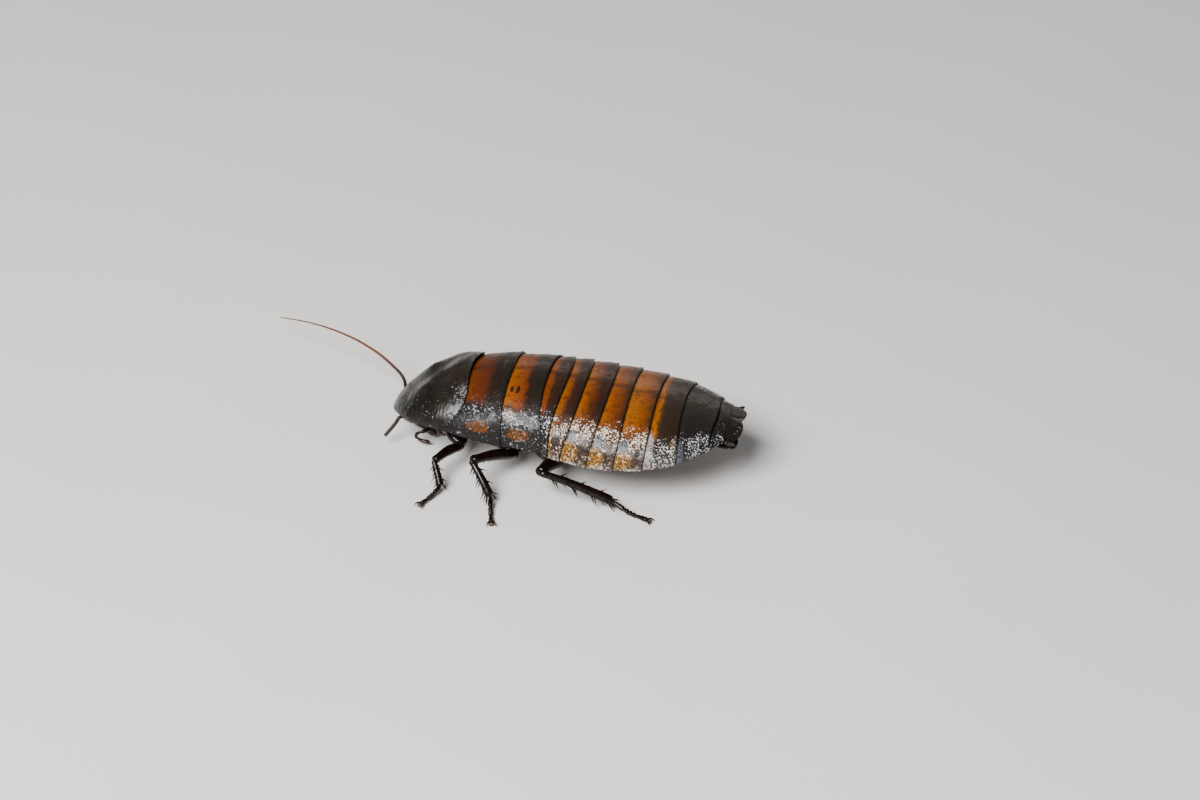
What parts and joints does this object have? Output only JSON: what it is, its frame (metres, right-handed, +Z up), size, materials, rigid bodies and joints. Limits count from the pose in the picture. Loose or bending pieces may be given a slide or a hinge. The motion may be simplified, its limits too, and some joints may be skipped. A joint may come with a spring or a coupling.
{
  "type": "madagascar hissing cockroach",
  "caption": "Adult female hissing cockroach, life size, standing: domed shield over the head, overlapping banded back plates, spiny legs, one whole antenna and one broken short",
  "frame": {"origin": "on the floor, under the middle of the whole animal's box, feelers and feet included", "axes": "+X from the head to the tail, +Y to the animal's right side, +Z up; the floor the feet stand on is z = 0"},
  "size_m": [0.0884, 0.0494, 0.0175],
  "materials": {
    "shield": "satin, near black horn with fine pits and a pale grain low on the sides",
    "thorax": "satin horn, amber to red-brown at the front and dark brown behind, grainy black flanks with an orange spot",
    "abdomen": "satin horn, golden brown bands over dark brown, grainy silver and ochre flanks",
    "tail": "satin dark grey-brown horn",
    "head": "satin, near black red-brown horn",
    "eye": "glossy black facets",
    "leg": "glossy, very dark red-brown horn",
    "feeler": "dull brown"
  },
  "bodies": {
    "root": {"pronotum": "shield", "prothorax": "head", "mesothorax": "thorax", "metathorax": "thorax", "abdomen_1": "abdomen", "abdomen_2": "abdomen", "abdomen_3": "abdomen", "abdomen_4": "abdomen", "abdomen_5": "abdomen", "abdomen_6": "abdomen", "abdomen_7": "abdomen", "abdomen_8": "tail", "head": "head", "labrum": "head", "jaw_left": "head", "jaw_right": "head", "lower_lip": "head", "anal_plate": "tail", "genital_plate": "tail", "cercus_left": "tail", "cercus_right": "tail", "antenna_right": "feeler", "eye_right": "eye", "antenna_left": "feeler", "eye_left": "eye", "palp_left": "feeler", "palp_right": "feeler", "coxa_fore_left": "leg", "femur_fore_left": "leg", "tibia_fore_left": "leg", "tarsus_fore_left": "leg", "coxa_fore_right": "leg", "femur_fore_right": "leg", "tibia_fore_right": "leg", "tarsus_fore_right": "leg", "coxa_middle_left": "leg", "femur_middle_left": "leg", "tibia_middle_left": "leg", "tarsus_middle_left": "leg", "coxa_middle_right": "leg", "femur_middle_right": "leg", "tibia_middle_right": "leg", "tarsus_middle_right": "leg", "coxa_hind_left": "leg", "femur_hind_left": "leg", "tibia_hind_left": "leg", "tarsus_hind_left": "leg", "coxa_hind_right": "leg", "femur_hind_right": "leg", "tibia_hind_right": "leg", "tarsus_hind_right": "leg"}
  },
  "joints": []
}
